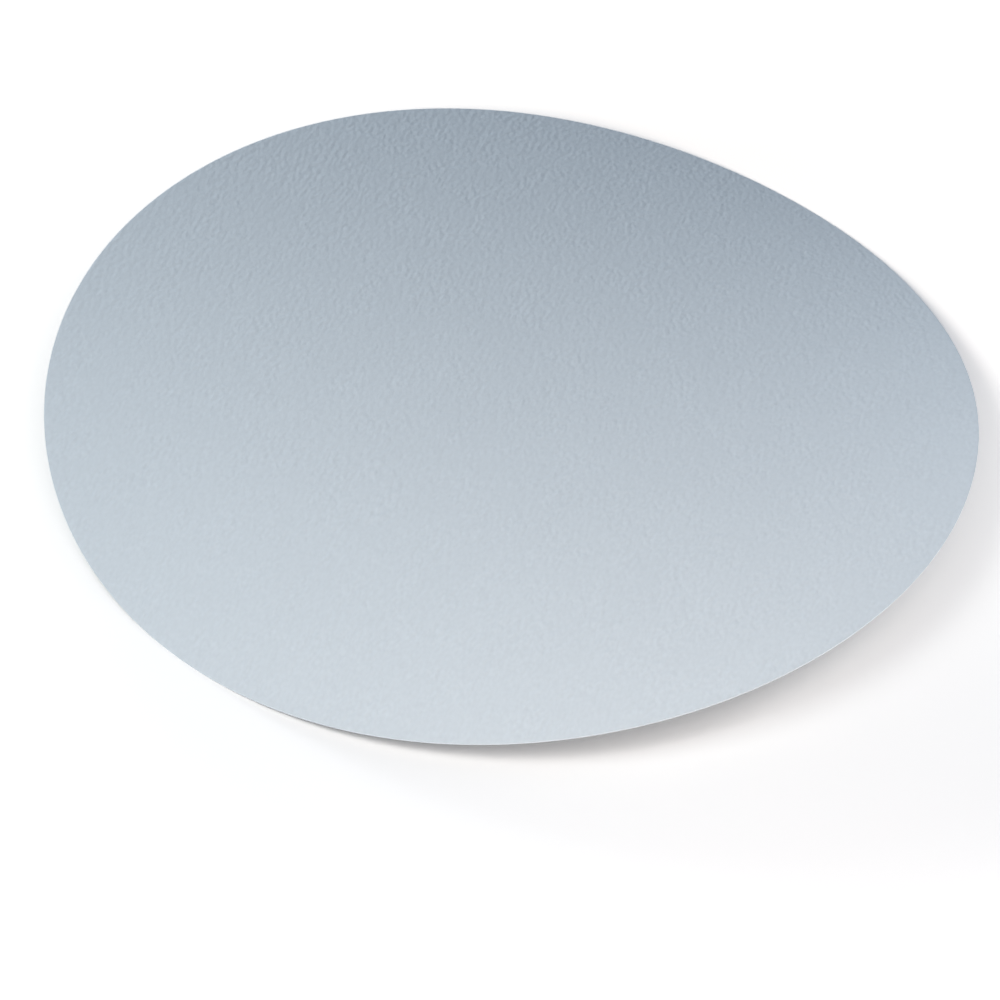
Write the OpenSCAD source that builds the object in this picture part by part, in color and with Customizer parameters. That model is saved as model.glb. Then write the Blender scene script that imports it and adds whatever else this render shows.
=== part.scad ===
// Round filter paper: one loose sheet, lying as it comes to rest.
//
// The sheet is cut flat and round, and then takes a gentle curl about one line through its middle,
// the crown. Paper bends but hardly stretches, so the curl is a bend about lines that all run parallel
// to the crown, and every length measured along the sheet stays what it was in the flat disc.
//
// Frame: X runs along the crown, Y across it and Z up. The origin is on the surface that the sheet
// lies on, straight below the middle of the crown. The sheet meets that surface at its two lowest
// edges, at either end of Y, and stands clear of it everywhere else.

/* [Sheet] */
// Diameter of the disc as it is cut, before it curls
disc_d = 110; // [40:1:330]
// Thickness of the paper
paper_t = 0.18; // [0.1:0.01:0.6]

/* [Curl] */
// Slope of the sheet in degrees at the two edges that it rests on
edge_slope = 14; // [0:0.5:40]
// Share of that slope which the sheet gains by bending tighter near those edges, where 0 is an even arc
edge_bend = 0.36; // [0:0.02:0.8]

/* [Hidden] */
paper_colour = [0.86, 0.88, 0.90];
// Straight cuts that stand for the round outline, an even number of them
rim_sides = 240;
// Lines across the sheet, parallel to the crown, that its flat strips bend along: two rim corners each
folds = rim_sides / 2;
disc_r = disc_d / 2;

// Angle at the disc's middle from the end of -Y to the rim corners that a fold joins
function rim_angle(fold) = (fold + 0.5) * 360 / rim_sides;

// Distance of a fold from the crown, measured along the flat sheet
function across(fold) = -disc_r * cos(rim_angle(fold));

// Half the length of a fold, from the middle of the sheet to its rim
function half_length(fold) = disc_r * sin(rim_angle(fold));

// Downward slope of the sheet at a distance from the crown, which turns over at the crown itself
function slope(s) = edge_slope * ((1 - edge_bend) * s / disc_r + edge_bend * pow(s / disc_r, 3));

// The step in Y and Z across the strip after a fold: the strip keeps its flat width as it tilts
function strip_step(fold) =
    let (
        from = across(fold),
        to = across(fold + 1),
        tilt = slope((from + to) / 2)
    )
    (to - from) * [cos(tilt), -sin(tilt)];

// Y and Z of each fold at the middle of the paper's thickness, counted from the first one
middle_line = [
    for (fold = 0, at = [0, 0]; fold < folds; at = at + strip_step(fold), fold = fold + 1) at
];

// Moves the two ends of the middle line to equal distances from the origin, and lifts the paper's
// lower face there up to the surface
end_rise = paper_t / 2 * cos(slope(across(folds - 1)));
to_rest = [-middle_line[folds - 1][0] / 2, end_rise];

// The four corners of the section through a fold: its upper face from -X to +X, then its lower face
// from +X to -X. The rim is cut square to the sheet.
function fold_corners(fold) =
    let (
        x = half_length(fold),
        tilt = slope(across(fold)),
        through = paper_t / 2 * [sin(tilt), cos(tilt)],
        top = middle_line[fold] + to_rest + through,
        under = middle_line[fold] + to_rest - through
    )
    [
        [-x, top[0], top[1]],
        [x, top[0], top[1]],
        [x, under[0], under[1]],
        [-x, under[0], under[1]]
    ];

// The faces of the strip between a fold and the next: upper, +X rim, lower and -X rim
function strip_faces(fold) =
    let (
        this = 4 * fold,
        next = this + 4
    )
    [
        for (side = [0:3])
            let (other = (side + 1) % 4)
            [this + side, next + side, next + other, this + other]
    ];

// The sheet, swept from fold to fold and closed by the short straight cut at either end of Y
module filter_disc() {
    last = 4 * (folds - 1);
    color(paper_colour)
        polyhedron(
            points = [for (fold = [0:folds - 1]) each fold_corners(fold)],
            faces = [
                [0, 1, 2, 3],
                for (fold = [0:folds - 2]) each strip_faces(fold),
                [last + 3, last + 2, last + 1, last]
            ]
        );
}

filter_disc();
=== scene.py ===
"""A round laboratory filter paper: one loose sheet with a gentle curl, lying on a pale floor.

Lengths are in metres and angles in degrees unless a name says otherwise. X runs along the crown that
the sheet bends about, Y across it and Z up. The sheet rests on its two low edges, at the ends of Y.
"""

import logging
import math
from collections.abc import Callable
from dataclasses import dataclass, field
from enum import Enum

import bpy
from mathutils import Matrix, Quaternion, Vector


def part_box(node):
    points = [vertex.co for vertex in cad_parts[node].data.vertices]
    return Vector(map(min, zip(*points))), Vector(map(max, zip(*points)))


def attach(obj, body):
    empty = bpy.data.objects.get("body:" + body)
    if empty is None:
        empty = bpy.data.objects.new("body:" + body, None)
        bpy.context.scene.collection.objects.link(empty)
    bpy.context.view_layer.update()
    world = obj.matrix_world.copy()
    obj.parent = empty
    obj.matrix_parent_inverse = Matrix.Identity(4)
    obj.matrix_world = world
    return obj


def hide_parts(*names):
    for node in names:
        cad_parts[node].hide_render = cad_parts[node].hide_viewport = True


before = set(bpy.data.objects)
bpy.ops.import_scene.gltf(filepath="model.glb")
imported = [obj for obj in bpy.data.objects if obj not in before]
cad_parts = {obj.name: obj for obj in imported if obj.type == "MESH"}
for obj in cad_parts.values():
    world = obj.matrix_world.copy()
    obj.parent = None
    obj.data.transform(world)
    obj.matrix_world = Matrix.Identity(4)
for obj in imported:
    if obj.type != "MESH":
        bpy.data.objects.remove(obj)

log = logging.getLogger("filter_paper")

MM = 0.001
MICRON = 0.000001
NODE = "filter_disc"
BODY = "root"

# A noise without finer layers has this middle, and mostly stays between this low and this high.
NOISE_MIDDLE = 0.5
NOISE_LOW = 0.36
NOISE_HIGH = 0.64

# The least that a face of one of the sheet's two wide sides points straight up or down, where 1 is level.
LEVEL_ENOUGH = 0.85

# Ray Depth is 1 for the light that a surface gathers directly and 2 for what reaches it by one more.
SECOND_BOUNCE = 1.5

Socket = bpy.types.NodeSocket


class Side(Enum):
    """The three surfaces of a punched sheet, in the order of its material slots."""

    FELT = 0
    WIRE = 1
    CUT = 2


class Nodes:
    """Adds shader nodes to one node tree and joins them."""

    def __init__(self, tree: bpy.types.NodeTree) -> None:
        """Starts from an empty tree.

        Args:
            tree: The tree to fill. What it holds is removed first.
        """
        self.tree = tree
        tree.nodes.clear()

    def fill(self, socket: Socket, value: object) -> None:
        """Sets an input socket.

        Args:
            socket: The input.
            value: A value, or the socket that it comes from.
        """
        if isinstance(value, Socket):
            self.tree.links.new(value, socket)
        else:
            socket.default_value = value

    def add(self, kind: str, settings: dict | None = None, **inputs: object) -> bpy.types.Node:
        """Adds one node.

        Args:
            kind: The node's type without its ShaderNode prefix, or Group, NodeGroupInput or NodeGroupOutput.
            settings: Properties of the node itself.
            **inputs: What goes into each socket, as a value or as the socket that it comes from. A
                space in a socket's name is written as an underscore.

        Returns:
            The node.
        """
        full_name = kind if kind.startswith("NodeGroup") else "ShaderNode" + kind
        node = self.tree.nodes.new(full_name)
        for name, value in (settings or {}).items():
            setattr(node, name, value)
        for name, value in inputs.items():
            self.fill(node.inputs[name.replace("_", " ")], value)
        return node

    def maths(self, operation: str, *terms: object, kind: str = "Math") -> Socket:
        """Adds a Math node.

        Args:
            operation: The name of the operation.
            *terms: Its numbers, each a value or the socket that it comes from.
            kind: Math for numbers or VectorMath for vectors and colours.

        Returns:
            The socket with the result.
        """
        node = self.add(kind, {"operation": operation})
        for socket, term in zip(node.inputs, terms):
            self.fill(socket, term)
        return next(socket for socket in node.outputs if socket.enabled)

    def vectors(self, operation: str, *terms: object) -> Socket:
        """Adds a Vector Math node and returns the socket with its result."""
        return self.maths(operation, *terms, kind="VectorMath")

    def total(self, *terms: object) -> Socket:
        """Adds up several terms.

        Args:
            *terms: Each a value or the socket that it comes from.

        Returns:
            The socket with the sum.
        """
        result = terms[0]
        for term in terms[1:]:
            result = self.maths("ADD", result, term)
        return result

    def per_metre(self, size: object) -> Socket:
        """Returns the socket with how many of a size fit in a metre."""
        return self.maths("DIVIDE", 1.0, size)

    def turn(self, place: Socket, angle: float) -> Socket:
        """Returns the socket with a place turned about Z by an angle in radians."""
        return self.add("VectorRotate", {"rotation_type": "Z_AXIS"}, Vector=place, Angle=angle).outputs[0]

    def noise(self, place: Socket, scale: object, layers: float = 0.0, **shape: float) -> Socket:
        """Adds a soft noise.

        Args:
            place: Where it is read.
            scale: How many of its patches fit in one unit of the place.
            layers: How many finer layers lie on the widest one.
            **shape: Its other inputs.

        Returns:
            The socket with the noise, from 0 to 1.
        """
        return self.add("TexNoise", Vector=place, Scale=scale, Detail=layers, **shape).outputs["Fac"]

    def soft_step(self, value: Socket, start: object, end: object, first: object, last: object) -> Socket:
        """Adds a smooth change from one number to another.

        Args:
            value: What drives it.
            start: The value at which it starts.
            end: The value at which it ends.
            first: The number before the start.
            last: The number after the end.

        Returns:
            The socket with the number.
        """
        settings = {"interpolation_type": "SMOOTHSTEP"}
        limits = {"From_Min": start, "From_Max": end, "To_Min": first, "To_Max": last}
        return self.add("MapRange", settings, Value=value, **limits).outputs[0]

    def blend(self, share: Socket, first: object, second: object) -> Socket:
        """Goes from one colour to another.

        Args:
            share: How much of the second colour is in it, from 0 to 1.
            first: The colour at 0.
            second: The colour at 1.

        Returns:
            The socket with the colour.
        """
        node = self.add("Mix", {"data_type": "RGBA"})
        used = [socket for socket in node.inputs if socket.enabled]
        for socket, value in zip(used, (share, first, second)):
            self.fill(socket, value)
        return next(socket for socket in node.outputs if socket.enabled)

    def join(self, kind: str, *shaders: Socket, **inputs: object) -> Socket:
        """Joins two shaders.

        Args:
            kind: AddShader or MixShader.
            *shaders: The two shaders.
            **inputs: What goes into the node's other sockets.

        Returns:
            The socket with the joined shader.
        """
        node = self.add(kind, **inputs)
        free = [socket for socket in node.inputs if socket.type == "SHADER"]
        for socket, shader in zip(free, shaders):
            self.fill(socket, shader)
        return node.outputs[0]

    def effect(self, group: bpy.types.NodeTree, **inputs: object) -> dict[str, Socket]:
        """Places a node group.

        Args:
            group: The group.
            **inputs: What goes into each of its sockets.

        Returns:
            Its output sockets by name.
        """
        node = self.add("Group", {"node_tree": group}, **inputs)
        return {socket.name: socket for socket in node.outputs}


def new_group(
    name: str, inputs: dict[str, str], outputs: dict[str, str]
) -> tuple[bpy.types.NodeTree, Nodes, dict[str, Socket]]:
    """Starts a shader node group.

    Args:
        name: What the group is called.
        inputs: The kind of each input socket by its name.
        outputs: The kind of each output socket by its name.

    Returns:
        The group, the helper that fills it, and its input sockets by name.
    """
    tree = bpy.data.node_groups.new(name, "ShaderNodeTree")
    for direction, sockets in (("INPUT", inputs), ("OUTPUT", outputs)):
        for socket_name, kind in sockets.items():
            tree.interface.new_socket(socket_name, in_out=direction, socket_type="NodeSocket" + kind)
    nodes = Nodes(tree)
    entry = nodes.add("NodeGroupInput")
    return tree, nodes, {socket_name: entry.outputs[socket_name] for socket_name in inputs}


@dataclass
class PaperStock:
    """The effects that every surface of the paper shares, each built once as a node group.

    Attributes:
        fibre_sets: How many sets of single fibres lie over each other.
        fibre_turn: Turn from one set to the next, in radians.
        fibre_step: Distance between two sets in the value of the noise that draws them.
        fibre_winding: How much the fibres wind.
        cloud_layers: Finer layers of the clouding.
        cloud_fineness: Strength of each finer layer, as a share of the one before.
        felt: The mottle that pressed fibres leave, with a painted shade in the pits of its finer tooth.
        fibres: Single fibres on the surface.
        clouding: The uneven laying down of the pulp.
        mesh_mark: The print of the drying screen.
    """

    fibre_sets: int = 2
    fibre_turn: float = 2.1
    fibre_step: float = 0.04
    fibre_winding: float = 0.8
    cloud_layers: float = 3.0
    cloud_fineness: float = 0.6
    felt: bpy.types.NodeTree = field(init=False)
    fibres: bpy.types.NodeTree = field(init=False)
    clouding: bpy.types.NodeTree = field(init=False)
    mesh_mark: bpy.types.NodeTree = field(init=False)

    def __post_init__(self) -> None:
        """Builds the groups."""
        self.felt = self._felt()
        self.fibres = self._fibres()
        self.clouding = self._clouding()
        self.mesh_mark = self._mesh_mark()

    @staticmethod
    def _felt() -> bpy.types.NodeTree:
        """Builds the mottle: soft knots with a finer tooth on them, livelier in some patches than in others,
        and a painted shade in the tooth's pits.

        Returns:
            The group.
        """
        numbers = ("Knot", "Lengthening", "Fineness", "Tooth", "Patch", "Quiet")
        inputs = {"Vector": "Vector"} | dict.fromkeys(numbers, "Float")
        tree, nodes, given = new_group("felt_mottle", inputs, {"Height": "Float", "Tone": "Float"})
        across = nodes.per_metre(given["Knot"])
        along = nodes.maths("DIVIDE", across, given["Lengthening"])
        stretch = nodes.add("CombineXYZ", X=along, Y=across, Z=across)
        place = nodes.vectors("MULTIPLY", given["Vector"], stretch.outputs[0])
        knots = nodes.maths("SUBTRACT", nodes.noise(place, 1.0), NOISE_MIDDLE)
        tooth = nodes.maths("SUBTRACT", nodes.noise(place, given["Fineness"]), NOISE_MIDDLE)
        height = nodes.total(knots, nodes.maths("MULTIPLY", tooth, given["Tooth"]))
        patches = nodes.noise(given["Vector"], nodes.per_metre(given["Patch"]))
        loud = nodes.maths("SUBTRACT", 2.0, given["Quiet"])
        lively = nodes.soft_step(patches, NOISE_LOW, NOISE_HIGH, given["Quiet"], loud)
        # The second output is painted shade: darker in the finer tooth's pits and lighter on its tops.
        nodes.add(
            "NodeGroupOutput",
            Height=nodes.maths("MULTIPLY", height, lively),
            Tone=nodes.maths("MULTIPLY", tooth, lively),
        )
        return tree

    def _fibres(self) -> bpy.types.NodeTree:
        """Builds the single fibres: thin winding lines, 0 between them and 1 on them.

        Returns:
            The group.
        """
        inputs = {"Vector": "Vector", "Spacing": "Float", "Width": "Float"}
        tree, nodes, given = new_group("surface_fibres", inputs, {"Mask": "Float"})
        scale = nodes.per_metre(given["Spacing"])
        masks = []
        for index in range(self.fibre_sets):
            place = nodes.turn(given["Vector"], self.fibre_turn * index)
            noise = nodes.noise(place, scale, layers=1.0, Distortion=self.fibre_winding)
            level = NOISE_MIDDLE + self.fibre_step * index
            off_line = nodes.maths("ABSOLUTE", nodes.maths("SUBTRACT", noise, level))
            masks.append(nodes.soft_step(off_line, 0.0, given["Width"], 1.0, 0.0))
        nodes.add("NodeGroupOutput", Mask=nodes.maths("MAXIMUM", *masks))
        return tree

    def _clouding(self) -> bpy.types.NodeTree:
        """Builds the clouding: wide soft patches, from -1 to 1.

        Returns:
            The group.
        """
        inputs = {"Vector": "Vector", "Patch": "Float"}
        tree, nodes, given = new_group("clouding", inputs, {"Amount": "Float"})
        scale = nodes.per_metre(given["Patch"])
        noise = nodes.noise(given["Vector"], scale, layers=self.cloud_layers, Roughness=self.cloud_fineness)
        centred = nodes.maths("SUBTRACT", noise, NOISE_MIDDLE)
        nodes.add("NodeGroupOutput", Amount=nodes.maths("MULTIPLY", centred, 2.0))
        return tree

    @staticmethod
    def _mesh_mark() -> bpy.types.NodeTree:
        """Builds the print of the drying screen: a fine square weave, from -1 to 1.

        Returns:
            The group.
        """
        inputs = {"Vector": "Vector", "Pitch": "Float"}
        tree, nodes, given = new_group("mesh_mark", inputs, {"Height": "Float"})
        turns = nodes.maths("DIVIDE", 2 * math.pi, given["Pitch"])
        axes = nodes.add("SeparateXYZ", Vector=given["Vector"]).outputs
        waves = [nodes.maths("SINE", nodes.maths("MULTIPLY", axes[name], turns)) for name in "XY"]
        nodes.add("NodeGroupOutput", Height=nodes.maths("MULTIPLY", *waves))
        return tree


@dataclass(frozen=True)
class PaperFinish:
    """How one surface of the paper looks.

    Attributes:
        name: What its material is called.
        colour: Linear colour of the paper.
        roughness: How matte it is.
        knot: Width of one knot of the felt mottle.
        knot_height: How far the knots stand up.
        fibre_height: How far single fibres stand up.
        mesh_height: How deep the drying screen's print is.
        clouding: How much the wide patches lighten and darken the colour, as a share of it.
        pit_shade: How much darker the pits of the mottle's finer tooth are painted than its tops, a painted
            shade, as a share of the colour.
        knot_roughness: How much rougher the knots are than the pits between them.
        gloss: How strongly the surface reflects, where 0.5 is a usual plastic.
        lengthening: How many times longer than wide the knots are, along the machine direction.
        fineness: How many times finer the tooth is than the knots.
        tooth: Height of the tooth, as a share of the knots' height.
        felt_patch: Width of the patches in which the mottle is livelier or quieter.
        quiet: Strength of the mottle in the quietest patches, where 1 is its usual strength.
        fibre_spacing: Distance between single fibres.
        fibre_width: Width of a single fibre, as a share of the noise that draws it.
        mesh_pitch: Distance between two wires of the drying screen.
        patch: Width of the wide patches of the clouding.
        machine_direction: The way that the web ran through the paper machine, counter-clockwise from +X.
    """

    name: str
    colour: tuple[float, float, float]
    roughness: float
    knot: float
    knot_height: float
    fibre_height: float
    mesh_height: float
    clouding: float
    pit_shade: float
    knot_roughness: float = 0.06
    gloss: float = 0.25
    lengthening: float = 1.5
    fineness: float = 1.5
    tooth: float = 0.3
    felt_patch: float = 3.5 * MM
    quiet: float = 0.78
    fibre_spacing: float = 2.6 * MM
    fibre_width: float = 0.02
    mesh_pitch: float = 0.9 * MM
    patch: float = 7 * MM
    machine_direction: float = 117.0

    def material(self, stock: PaperStock) -> bpy.types.Material:
        """Builds the material.

        Args:
            stock: The effects that the paper's surfaces share.

        Returns:
            The material.
        """
        made = bpy.data.materials.new(self.name)
        made.use_nodes = True
        nodes = Nodes(made.node_tree)
        place = nodes.turn(nodes.add("TexCoord").outputs["Object"], -math.radians(self.machine_direction))
        felt = nodes.effect(
            stock.felt,
            Vector=place,
            Knot=self.knot,
            Lengthening=self.lengthening,
            Fineness=self.fineness,
            Tooth=self.tooth,
            Patch=self.felt_patch,
            Quiet=self.quiet,
        )
        fibres = nodes.effect(stock.fibres, Vector=place, Spacing=self.fibre_spacing, Width=self.fibre_width)
        clouds = nodes.effect(stock.clouding, Vector=place, Patch=self.patch)
        mesh = nodes.effect(stock.mesh_mark, Vector=place, Pitch=self.mesh_pitch)
        height = nodes.total(
            nodes.maths("MULTIPLY", felt["Height"], self.knot_height),
            nodes.maths("MULTIPLY", fibres["Mask"], self.fibre_height),
            nodes.maths("MULTIPLY", mesh["Height"], self.mesh_height),
        )
        # The colour's real clouding, plus a painted shade: the pits of the felt's finer tooth darker and its
        # tops lighter.
        clouding_and_pit_shade = nodes.total(
            1.0,
            nodes.maths("MULTIPLY", clouds["Amount"], self.clouding),
            nodes.maths("MULTIPLY", felt["Tone"], self.pit_shade),
        )
        rougher = nodes.maths("MULTIPLY", felt["Height"], self.knot_roughness)
        bump = nodes.add("Bump", Strength=1.0, Distance=1.0, Height=height)
        shader = nodes.add(
            "BsdfPrincipled",
            Base_Color=nodes.vectors("MULTIPLY", self.colour, clouding_and_pit_shade),
            Roughness=nodes.total(self.roughness, rougher),
            Specular_IOR_Level=self.gloss,
            Normal=bump.outputs[0],
        )
        nodes.add("OutputMaterial", Surface=shader.outputs[0])
        return made


FELT_SIDE = PaperFinish(
    name="felt_side",
    colour=(0.70, 0.74, 0.78),
    roughness=0.9,
    knot=0.6 * MM,
    knot_height=95 * MICRON,
    fibre_height=2.5 * MICRON,
    mesh_height=0.0,
    clouding=0.018,
    pit_shade=0.09,
)
WIRE_SIDE = PaperFinish(
    name="wire_side",
    colour=(0.70, 0.74, 0.775),
    roughness=0.86,
    knot=0.6 * MM,
    knot_height=60 * MICRON,
    fibre_height=2.5 * MICRON,
    mesh_height=6 * MICRON,
    clouding=0.016,
    pit_shade=0.06,
)
CUT_EDGE = PaperFinish(
    name="cut_edge",
    colour=(0.76, 0.80, 0.84),
    roughness=0.95,
    knot=0.12 * MM,
    knot_height=25 * MICRON,
    fibre_height=0.0,
    mesh_height=0.0,
    clouding=0.03,
    pit_shade=0.06,
)


def start_alone() -> None:
    """Leaves edit mode and deselects every object, so that an operator acts on nothing by mistake."""
    if bpy.context.object and bpy.context.object.mode != "OBJECT":
        bpy.ops.object.mode_set(mode="OBJECT")
    bpy.ops.object.select_all(action="DESELECT")


def choose(piece: bpy.types.Object) -> None:
    """Selects one object alone and makes it the active one.

    Args:
        piece: The object.
    """
    start_alone()
    piece.select_set(True)
    bpy.context.view_layer.objects.active = piece


def edit(piece: bpy.types.Object, kind: str) -> None:
    """Opens a piece in edit mode.

    Args:
        piece: The object to edit.
        kind: What is selected there: VERT, EDGE or FACE.
    """
    choose(piece)
    bpy.ops.object.mode_set(mode="EDIT")
    bpy.ops.mesh.select_mode(type=kind)


def apply_modifier(piece: bpy.types.Object, kind: str, **settings: object) -> None:
    """Adds a modifier to a piece and applies it.

    Args:
        piece: The object that it changes.
        kind: The modifier's type.
        **settings: The modifier's own properties.
    """
    choose(piece)
    modifier = piece.modifiers.new(kind.lower(), kind)
    for name, value in settings.items():
        setattr(modifier, name, value)
    bpy.ops.object.modifier_apply(modifier=modifier.name)


def cloud_texture(name: str, scale: float) -> bpy.types.Texture:
    """Makes a soft noise for the Displace modifier.

    Args:
        name: What the texture is called.
        scale: The size of its patches.

    Returns:
        The texture, which runs from 0 to 1.
    """
    texture = bpy.data.textures.new(name, "CLOUDS")
    texture.noise_basis = "IMPROVED_PERLIN"
    texture.noise_scale = scale
    texture.noise_depth = 1
    return texture


@dataclass
class Curl:
    """The bend that the sheet took about its crown: its slope at any distance from it.

    Attributes:
        reach: Distance along the sheet from the crown to the edges that it rests on.
        edge_slope: Slope at those edges.
        edge_bend: Share of that slope which the sheet gains by bending tighter near those edges.
        steps: Straight steps in the line that stands for the curve.
    """

    reach: float
    edge_slope: float = 14.0
    edge_bend: float = 0.36
    steps: int = 600

    def slope(self, distance: float) -> float:
        """Returns the downward slope in radians at a distance from the crown."""
        share = distance / self.reach
        return math.radians(self.edge_slope) * ((1 - self.edge_bend) * share + self.edge_bend * share**3)

    def line(self) -> list[tuple[float, float]]:
        """Follows the sheet from one resting edge to the other.

        Returns:
            Y and Z of each step's end, centred on Y.
        """
        step = 2 * self.reach / self.steps
        y, z = 0.0, 0.0
        places = [(y, z)]
        for index in range(self.steps):
            slope = self.slope((index + 0.5) * step - self.reach)
            y += step * math.cos(slope)
            z -= step * math.sin(slope)
            places.append((y, z))
        return [(place[0] - y / 2, place[1]) for place in places]

    def curve(self) -> bpy.types.Object:
        """Makes the line a curve object.

        Returns:
            A curve that a sheet's Y axis can be laid along.
        """
        data = bpy.data.curves.new("curl", "CURVE")
        data.dimensions = "3D"
        data.use_deform_bounds = True
        places = self.line()
        spline = data.splines.new("POLY")
        spline.points.add(len(places) - 1)
        for point, (y, z) in zip(spline.points, places):
            point.co = (0, y, z, 1)
            point.tilt = math.pi / 2
        made = bpy.data.objects.new("curl", data)
        bpy.context.scene.collection.objects.link(made)
        return made


@dataclass
class FilterDisc:
    """One punched disc of filter paper.

    Attributes:
        radius: Half its diameter when flat.
        thickness: Thickness of the paper.
        rim_points: Points round its rim.
        rim_rings: Width of each ring of faces inside the rim, from the outside in.
        punch_roll: How far the punch rolled the felt side's edge over.
        burr_round: How far the other edge is rounded.
        ragged: How far the cut wanders inwards where fibres tore.
        tear_size: Width of one such place along the cut.
        cockle_size: Width of the widest swells that drying left in the sheet.
        cockle_height: How high those swells are.
        ripple_size: Width of the finer ripples between them.
        ripple_height: How high those ripples are.
        tooth_size: Width of the felt side's finest modelled unevenness.
        tooth_height: How high that unevenness is.
        smooth_below: Angle between two faces up to which the edge between them is shaded smooth.
        finishes: The finish of each side.
    """

    radius: float
    thickness: float = 0.18 * MM
    rim_points: int = 840
    rim_rings: tuple[float, ...] = (0.25 * MM, 0.4 * MM)
    punch_roll: float = 0.05 * MM
    burr_round: float = 0.02 * MM
    ragged: float = 0.03 * MM
    tear_size: float = 0.7 * MM
    cockle_size: float = 24 * MM
    cockle_height: float = 0.05 * MM
    ripple_size: float = 5 * MM
    ripple_height: float = 0.012 * MM
    tooth_size: float = 1.3 * MM
    tooth_height: float = 0.003 * MM
    smooth_below: float = 40.0
    finishes: dict[Side, PaperFinish] = field(
        default_factory=lambda: {Side.FELT: FELT_SIDE, Side.WIRE: WIRE_SIDE, Side.CUT: CUT_EDGE}
    )

    def build(self) -> bpy.types.Object:
        """Models the disc and dresses it.

        Returns:
            The finished piece.
        """
        sheet = self._punch_blank()
        self._dry(sheet)
        self._thicken(sheet)
        self._round_corners(sheet)
        self._tear_cut(sheet)
        self._raise_tooth(sheet)
        self._curl(sheet)
        self._settle(sheet)
        self._dress(sheet)
        return sheet

    def _punch_blank(self) -> bpy.types.Object:
        """Makes the flat disc as one layer of faces: rings at the rim and a grid inside them.

        Returns:
            The layer, facing up.
        """
        start_alone()
        bpy.ops.mesh.primitive_circle_add(vertices=self.rim_points, radius=self.radius, fill_type="NOTHING")
        sheet = bpy.context.object
        sheet.name = "filter_paper"
        edit(sheet, "EDGE")
        bpy.ops.mesh.select_all(action="SELECT")
        radius = self.radius
        for width in self.rim_rings:
            shrink = (radius - width) / radius
            bpy.ops.mesh.extrude_edges_move()
            bpy.ops.transform.resize(value=(shrink, shrink, 1))
            radius -= width
        bpy.ops.mesh.fill_grid(span=self.rim_points // 4)
        bpy.ops.mesh.select_all(action="SELECT")
        bpy.ops.mesh.normals_make_consistent(inside=False)
        bpy.ops.object.mode_set(mode="OBJECT")
        if sheet.data.polygons[0].normal.z < 0:
            sheet.data.flip_normals()
        return sheet

    def _displace(
        self,
        sheet: bpy.types.Object,
        name: str,
        size: float,
        height: float,
        direction: str = "NORMAL",
        middle: float = 0.5,
        chosen: list[int] | None = None,
    ) -> None:
        """Moves the sheet's surface by a soft noise.

        Args:
            sheet: The sheet.
            name: What the noise is called.
            size: Width of its patches.
            height: How far its lowest and highest places lie apart.
            direction: NORMAL to move each place square to the surface, or Z to move it upwards.
            middle: The value of the noise, from 0 to 1, that moves nothing.
            chosen: The vertices that it moves, or None for all of them.
        """
        group = sheet.vertex_groups.new(name=name)
        group.add(range(len(sheet.data.vertices)) if chosen is None else chosen, 1.0, "REPLACE")
        apply_modifier(
            sheet,
            "DISPLACE",
            texture=cloud_texture(name, size),
            texture_coords="LOCAL",
            direction=direction,
            strength=height,
            mid_level=middle,
            vertex_group=group.name,
        )
        sheet.vertex_groups.remove(sheet.vertex_groups[name])

    def _dry(self, sheet: bpy.types.Object) -> None:
        """Gives the sheet the slight swells and ripples that both of its faces share."""
        self._displace(sheet, "cockle", self.cockle_size, self.cockle_height, direction="Z")
        self._displace(sheet, "ripple", self.ripple_size, self.ripple_height, direction="Z")

    def _thicken(self, sheet: bpy.types.Object) -> None:
        """Gives the layer the paper's thickness, half to each side."""
        apply_modifier(sheet, "SOLIDIFY", thickness=self.thickness, offset=0.0)

    def _round_corners(self, sheet: bpy.types.Object) -> None:
        """Rounds the two corners of the cut.

        Args:
            sheet: The sheet.
        """
        for upper, width, segments in ((True, self.punch_roll, 3), (False, self.burr_round, 1)):
            self._select_corner(sheet, upper)
            bpy.ops.mesh.bevel(offset=width, segments=segments, affect="EDGES", clamp_overlap=True)
            bpy.ops.object.mode_set(mode="OBJECT")

    def _tear_cut(self, sheet: bpy.types.Object) -> None:
        """Lets the cut wander inwards where fibres tore.

        Args:
            sheet: The sheet.
        """
        inner = self.radius - self.rim_rings[0] / 2
        cut = [v.index for v in sheet.data.vertices if v.co.xy.length > inner]
        self._displace(sheet, "torn_fibres", self.tear_size, self.ragged, middle=1.0, chosen=cut)

    def _select_corner(self, sheet: bpy.types.Object, upper: bool) -> None:
        """Opens the sheet with one corner of its rim selected.

        Args:
            sheet: The thick sheet.
            upper: True for the corner of the felt side, False for the other one.
        """
        edit(sheet, "EDGE")
        bpy.ops.mesh.select_all(action="DESELECT")
        bpy.ops.object.mode_set(mode="OBJECT")
        middle = self._rim_middle(sheet)
        vertices = sheet.data.vertices
        for edge in sheet.data.edges:
            ends = [vertices[index].co for index in edge.vertices]
            at_rim = all(self._at_rim(end) for end in ends)
            same_side = all((end.z > middle(end)) == upper for end in ends)
            edge.select = at_rim and same_side
        bpy.ops.object.mode_set(mode="EDIT")

    def _rim_middle(self, sheet: bpy.types.Object) -> Callable[[Vector], float]:
        """Measures the middle of the cut all the way round.

        Args:
            sheet: The thick sheet.

        Returns:
            A function that gives the height of that middle at a place on the rim.
        """
        heights: dict[int, list[float]] = {}
        for vertex in sheet.data.vertices:
            if self._at_rim(vertex.co):
                heights.setdefault(self._rim_step(vertex.co), []).append(vertex.co.z)
        middles = {step: sum(found) / len(found) for step, found in heights.items()}
        return lambda place: middles[self._rim_step(place)]

    def _at_rim(self, place: Vector) -> bool:
        """Returns whether a place is on the cut, to a micron."""
        return place.xy.length > self.radius - 1 * MICRON

    def _rim_step(self, place: Vector) -> int:
        """Returns which of the rim's points a place is at."""
        return round(math.atan2(place.y, place.x) / (2 * math.pi) * self.rim_points) % self.rim_points

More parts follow.
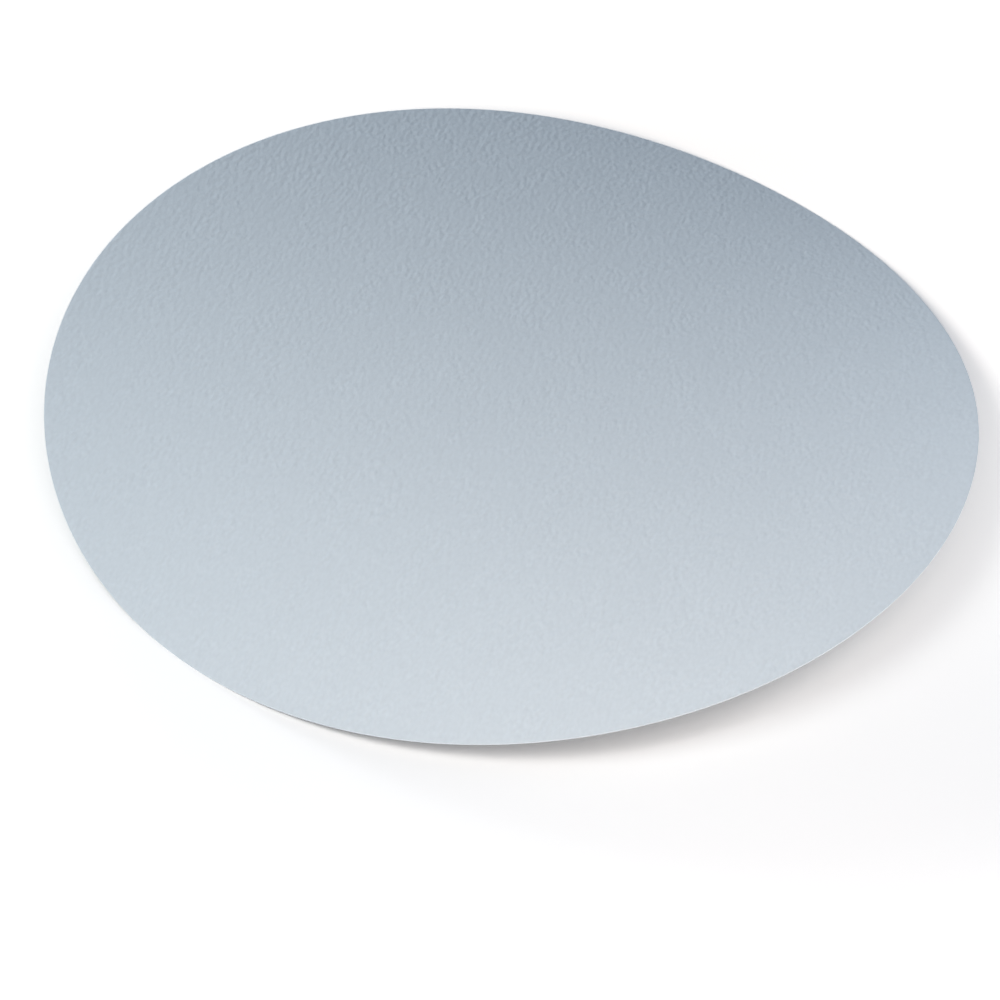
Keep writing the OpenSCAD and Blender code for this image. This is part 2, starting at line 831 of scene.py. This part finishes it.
    def _raise_tooth(self, sheet: bpy.types.Object) -> None:
        """Raises the felt side's finest modelled unevenness, clear of the rim.

        Args:
            sheet: The sheet.
        """
        inner = self.radius - self.rim_rings[0]
        vertices = sheet.data.vertices
        felt = [v.index for v in vertices if v.normal.z > LEVEL_ENOUGH and v.co.xy.length < inner]
        self._displace(sheet, "tooth", self.tooth_size, self.tooth_height, chosen=felt)

    def _curl(self, sheet: bpy.types.Object) -> None:
        """Bends the sheet about its crown, with every length along it kept.

        Args:
            sheet: The sheet.
        """
        guide = Curl(self.radius).curve()
        apply_modifier(sheet, "CURVE", object=guide, deform_axis="POS_Y")
        bpy.data.objects.remove(guide)

    def _settle(self, sheet: bpy.types.Object) -> None:
        """Lowers the sheet onto the floor and smooths it.

        Args:
            sheet: The sheet.
        """
        sheet.location.z = -min(vertex.co.z for vertex in sheet.data.vertices)
        bpy.ops.object.transform_apply(location=True, rotation=False, scale=False)
        bpy.ops.object.shade_smooth_by_angle(angle=math.radians(self.smooth_below))

    def _dress(self, sheet: bpy.types.Object) -> None:
        """Gives each face the finish of its side.

        Args:
            sheet: The sheet.
        """
        stock = PaperStock()
        for side in Side:
            sheet.data.materials.append(self.finishes[side].material(stock))
        for face in sheet.data.polygons:
            if face.normal.z > LEVEL_ENOUGH:
                face.material_index = Side.FELT.value
            elif face.normal.z < -LEVEL_ENOUGH:
                face.material_index = Side.WIRE.value
            else:
                face.material_index = Side.CUT.value


@dataclass(frozen=True)
class Panel:
    """A square soft light aimed at the middle of the disc.

    Attributes:
        name: What the lamp is called.
        bearing: Direction that it stands in, counter-clockwise from the camera's right.
        away: Its distance from the middle along the floor, in disc radii.
        height: Its height above the floor, in disc radii.
        side: Length of its side, in disc radii.
        share: Light that it gives the middle of the disc, where 1 shows a colour as it is written.
    """

    name: str
    bearing: float
    away: float
    height: float
    side: float
    share: tuple[float, float, float]

    def place(self, radius: float, camera_azimuth: float) -> None:
        """Adds the lamp.

        Args:
            radius: The disc's radius.
            camera_azimuth: The direction that the camera looks in, counter-clockwise from +Y.
        """
        bearing = math.radians(self.bearing + camera_azimuth)
        reach = self.away * radius
        at = Vector((reach * math.cos(bearing), reach * math.sin(bearing), self.height * radius))
        strongest = max(self.share)
        data = bpy.data.lights.new(self.name, "AREA")
        data.shape = "SQUARE"
        data.size = self.side * radius
        data.color = [part / strongest for part in self.share]
        falling = self._view_factor(data.size / at.length) * at.z / at.length
        data.energy = math.pi * data.size**2 * strongest / falling
        lamp = bpy.data.objects.new(self.name, data)
        lamp.location = at
        lamp.rotation_mode = "QUATERNION"
        lamp.rotation_quaternion = (-at).to_track_quat("-Z", "Y")
        lamp.visible_camera = False
        bpy.context.scene.collection.objects.link(lamp)

    @staticmethod
    def _view_factor(width: float) -> float:
        """Returns how much of a facing place's view a square lamp fills, from its width over its distance."""
        leg = width / 2 / math.hypot(1, width / 2)
        return 4 / math.pi * leg * math.atan(leg)


@dataclass
class Studio:
    """The floor, the light and the camera.

    Attributes:
        radius: The disc's radius.
        azimuth: Direction that the camera looks in, counter-clockwise from +Y.
        elevation: Its angle above the floor.
        roll: How far it is turned about its own axis.
        distance: From the camera to what it looks at, in disc radii.
        aim: What it looks at, in disc radii.
        lens: Focal length in millimetres, on the usual 36 mm sensor.
        nearest: The nearest that the camera sees, in metres.
        sky: Linear colour of the light from all round.
        floor_side: Length of the floor's side, in disc radii.
        floor_colour: Linear colour of the floor as the sheet's underside is lit by it.
        floor_white: Linear colour that shows the floor's middle as white under these lamps.
        white_rise: How much that colour rises for each radius away from the camera.
        white_bend: How much faster it rises for each further radius.
        shadow_middle: Middle of the sheet's shadow, to the camera's right and away from it, in disc radii.
        clear_from: Distance from there, in disc radii, from which the floor fades to plain white.
        clear_at: Distance at which it is plain white.
        fill_from_below: Light that the floor gives the sheet's underside by itself.
        panels: The lamps.
    """

    radius: float
    azimuth: float = 41.28
    elevation: float = 43.76
    roll: float = 1.78
    distance: float = 8.433
    aim: tuple[float, float, float] = (0.1527, -0.2020, 0.0)
    lens: float = 144.0
    nearest: float = 10 * MM
    sky: tuple[float, float, float] = (0.037, 0.081, 0.136)
    floor_side: float = 80.0
    floor_colour: tuple[float, float, float] = (0.8, 0.8, 0.8)
    floor_white: tuple[float, float, float] = (1.50, 1.40, 1.33)
    white_rise: tuple[float, float, float] = (0.55, 0.435, 0.345)
    white_bend: tuple[float, float, float] = (0.18, 0.135, 0.105)
    shadow_middle: tuple[float, float] = (0.3, -0.2)
    clear_from: float = 1.15
    clear_at: float = 2.4
    fill_from_below: float = 0.35
    panels: tuple[Panel, ...] = (
        Panel("window", bearing=124.9, away=8.05, height=1.2, side=2.1, share=(0.071, 0.076, 0.079)),
        Panel("left", bearing=213.7, away=2.52, height=2.4, side=1.9, share=(0.260, 0.268, 0.263)),
        Panel("front", bearing=286.9, away=1.72, height=1.2, side=2.5, share=(0.208, 0.192, 0.176)),
        Panel("right", bearing=357.5, away=2.3, height=1.0, side=1.2, share=(0.083, 0.086, 0.088)),
    )

    def place_camera(self) -> None:
        """Adds the camera and makes it the scene's own."""
        azimuth = math.radians(self.azimuth)
        elevation = math.radians(self.elevation)
        level = math.cos(elevation)
        back = Vector((math.sin(azimuth) * level, -math.cos(azimuth) * level, math.sin(elevation)))
        data = bpy.data.cameras.new("camera")
        data.lens = self.lens
        data.clip_start = self.nearest
        camera = bpy.data.objects.new("camera", data)
        camera.location = (Vector(self.aim) + back * self.distance) * self.radius
        camera.rotation_mode = "QUATERNION"
        unrolled = (-back).to_track_quat("-Z", "Y")
        camera.rotation_quaternion = unrolled @ Quaternion((0, 0, 1), math.radians(self.roll))
        bpy.context.scene.collection.objects.link(camera)
        bpy.context.scene.camera = camera

    def light(self) -> None:
        """Adds the lamps and the sky, and sets plain colours."""
        bpy.context.scene.view_settings.view_transform = "Standard"
        for panel in self.panels:
            panel.place(self.radius, self.azimuth)
        world = bpy.data.worlds.new("studio")
        bpy.context.scene.world = world
        world.use_nodes = True
        nodes = Nodes(world.node_tree)
        seen = self._seen_directly(nodes, nodes.add("LightPath"))
        colour = nodes.blend(seen, (*self.sky, 1), (1, 1, 1, 1))
        background = nodes.add("Background", Color=colour, Strength=1.0)
        nodes.add("OutputWorld", Surface=background.outputs[0])

    def lay_floor(self) -> None:
        """Adds the floor, which is white wherever the disc's shadow doesn't fall."""
        start_alone()
        bpy.ops.mesh.primitive_plane_add(size=self.floor_side * self.radius)
        floor = bpy.context.object
        floor.name = "floor"
        floor.data.materials.append(self._floor_material())

    def _floor_material(self) -> bpy.types.Material:
        """Builds a pale matte floor that shows white under these lamps, apart from the sheet's shadow.

        It gives the sheet's underside a little light of its own. From below it can be looked through.

        Returns:
            The material.
        """
        made = bpy.data.materials.new("floor")
        made.use_nodes = True
        made.cycles.emission_sampling = "NONE"
        nodes = Nodes(made.node_tree)
        path = nodes.add("LightPath")
        seen = self._seen_directly(nodes, path)
        aside, away = self._floor_place(nodes)
        colour = nodes.blend(seen, (*self.floor_colour, 1), self._white_under_lamps(nodes, away))
        glow = nodes.total(
            nodes.maths("MULTIPLY", seen, self._clear_of_shadow(nodes, aside, away)),
            nodes.maths("MULTIPLY", self._lights_sheet(nodes, path), self.fill_from_below),
        )
        matte = nodes.add("BsdfDiffuse", Color=colour)
        plain_white = nodes.add("Emission", Strength=glow)
        from_above = nodes.join("AddShader", matte.outputs[0], plain_white.outputs[0])
        backfacing = nodes.add("NewGeometry").outputs["Backfacing"]
        from_below = nodes.maths("MULTIPLY", backfacing, path.outputs["Is Camera Ray"])
        see_through = nodes.add("BsdfTransparent").outputs[0]
        surface = nodes.join("MixShader", from_above, see_through, Fac=from_below)
        nodes.add("OutputMaterial", Surface=surface)
        return made

    @staticmethod
    def _seen_directly(nodes: Nodes, path: bpy.types.Node) -> Socket:
        """Returns a socket that is 1 for what is seen directly, in a reflection or through glass."""
        seen = nodes.maths("MAXIMUM", path.outputs["Is Camera Ray"], path.outputs["Is Glossy Ray"])
        return nodes.maths("MAXIMUM", seen, path.outputs["Is Transmission Ray"])

    @staticmethod
    def _lights_sheet(nodes: Nodes, path: bpy.types.Node) -> Socket:
        """Returns a socket that is 1 for the light that the sheet gathers straight from the floor."""
        straight = nodes.maths("LESS_THAN", path.outputs["Ray Depth"], SECOND_BOUNCE)
        return nodes.maths("MULTIPLY", path.outputs["Is Diffuse Ray"], straight)

    def _floor_place(self, nodes: Nodes) -> tuple[Socket, Socket]:
        """Measures where a place on the floor is, as the camera looks.

        Args:
            nodes: The floor's nodes.

        Returns:
            The sockets with its distances from the middle, to the right and away, in disc radii.
        """
        place = nodes.vectors("DIVIDE", nodes.add("TexCoord").outputs["Object"], (self.radius,) * 3)
        azimuth = math.radians(self.azimuth)
        aside = nodes.vectors("DOT_PRODUCT", place, (math.cos(azimuth), math.sin(azimuth), 0))
        away = nodes.vectors("DOT_PRODUCT", place, (-math.sin(azimuth), math.cos(azimuth), 0))
        return aside, away

    def _white_under_lamps(self, nodes: Nodes, away: Socket) -> Socket:
        """Returns the socket with the colour that shows as white under the lamps' falling light."""
        rise = nodes.vectors("ADD", nodes.vectors("MULTIPLY", self.white_bend, away), self.white_rise)
        return nodes.vectors("ADD", nodes.vectors("MULTIPLY", rise, away), self.floor_white)

    def _clear_of_shadow(self, nodes: Nodes, aside: Socket, away: Socket) -> Socket:
        """Measures how far out of the sheet's shadow a place on the floor is.

        Args:
            nodes: The floor's nodes.
            aside: The place's distance to the right.
            away: The place's distance away.

        Returns:
            A socket that is 0 in and near the shadow and 1 far from it.
        """
        from_shadow = nodes.add(
            "CombineXYZ",
            X=nodes.maths("SUBTRACT", aside, self.shadow_middle[0]),
            Y=nodes.maths("SUBTRACT", away, self.shadow_middle[1]),
        )
        distance = nodes.vectors("LENGTH", from_shadow.outputs[0])
        return nodes.soft_step(distance, self.clear_from, self.clear_at, 0.0, 1.0)


def main() -> None:
    """Builds the scene round the frame."""
    logging.basicConfig(level=logging.INFO, format="%(name)s: %(message)s")
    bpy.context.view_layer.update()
    lowest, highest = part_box(NODE)
    radius = (highest.x - lowest.x) / 2
    studio = Studio(radius)
    studio.place_camera()
    disc = FilterDisc(radius).build()
    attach(disc, BODY)
    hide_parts(NODE)
    log.info("%s: %d faces", disc.name, len(disc.data.polygons))
    studio.lay_floor()
    studio.light()
    bpy.context.view_layer.update()


if __name__ == "__main__":
    main()
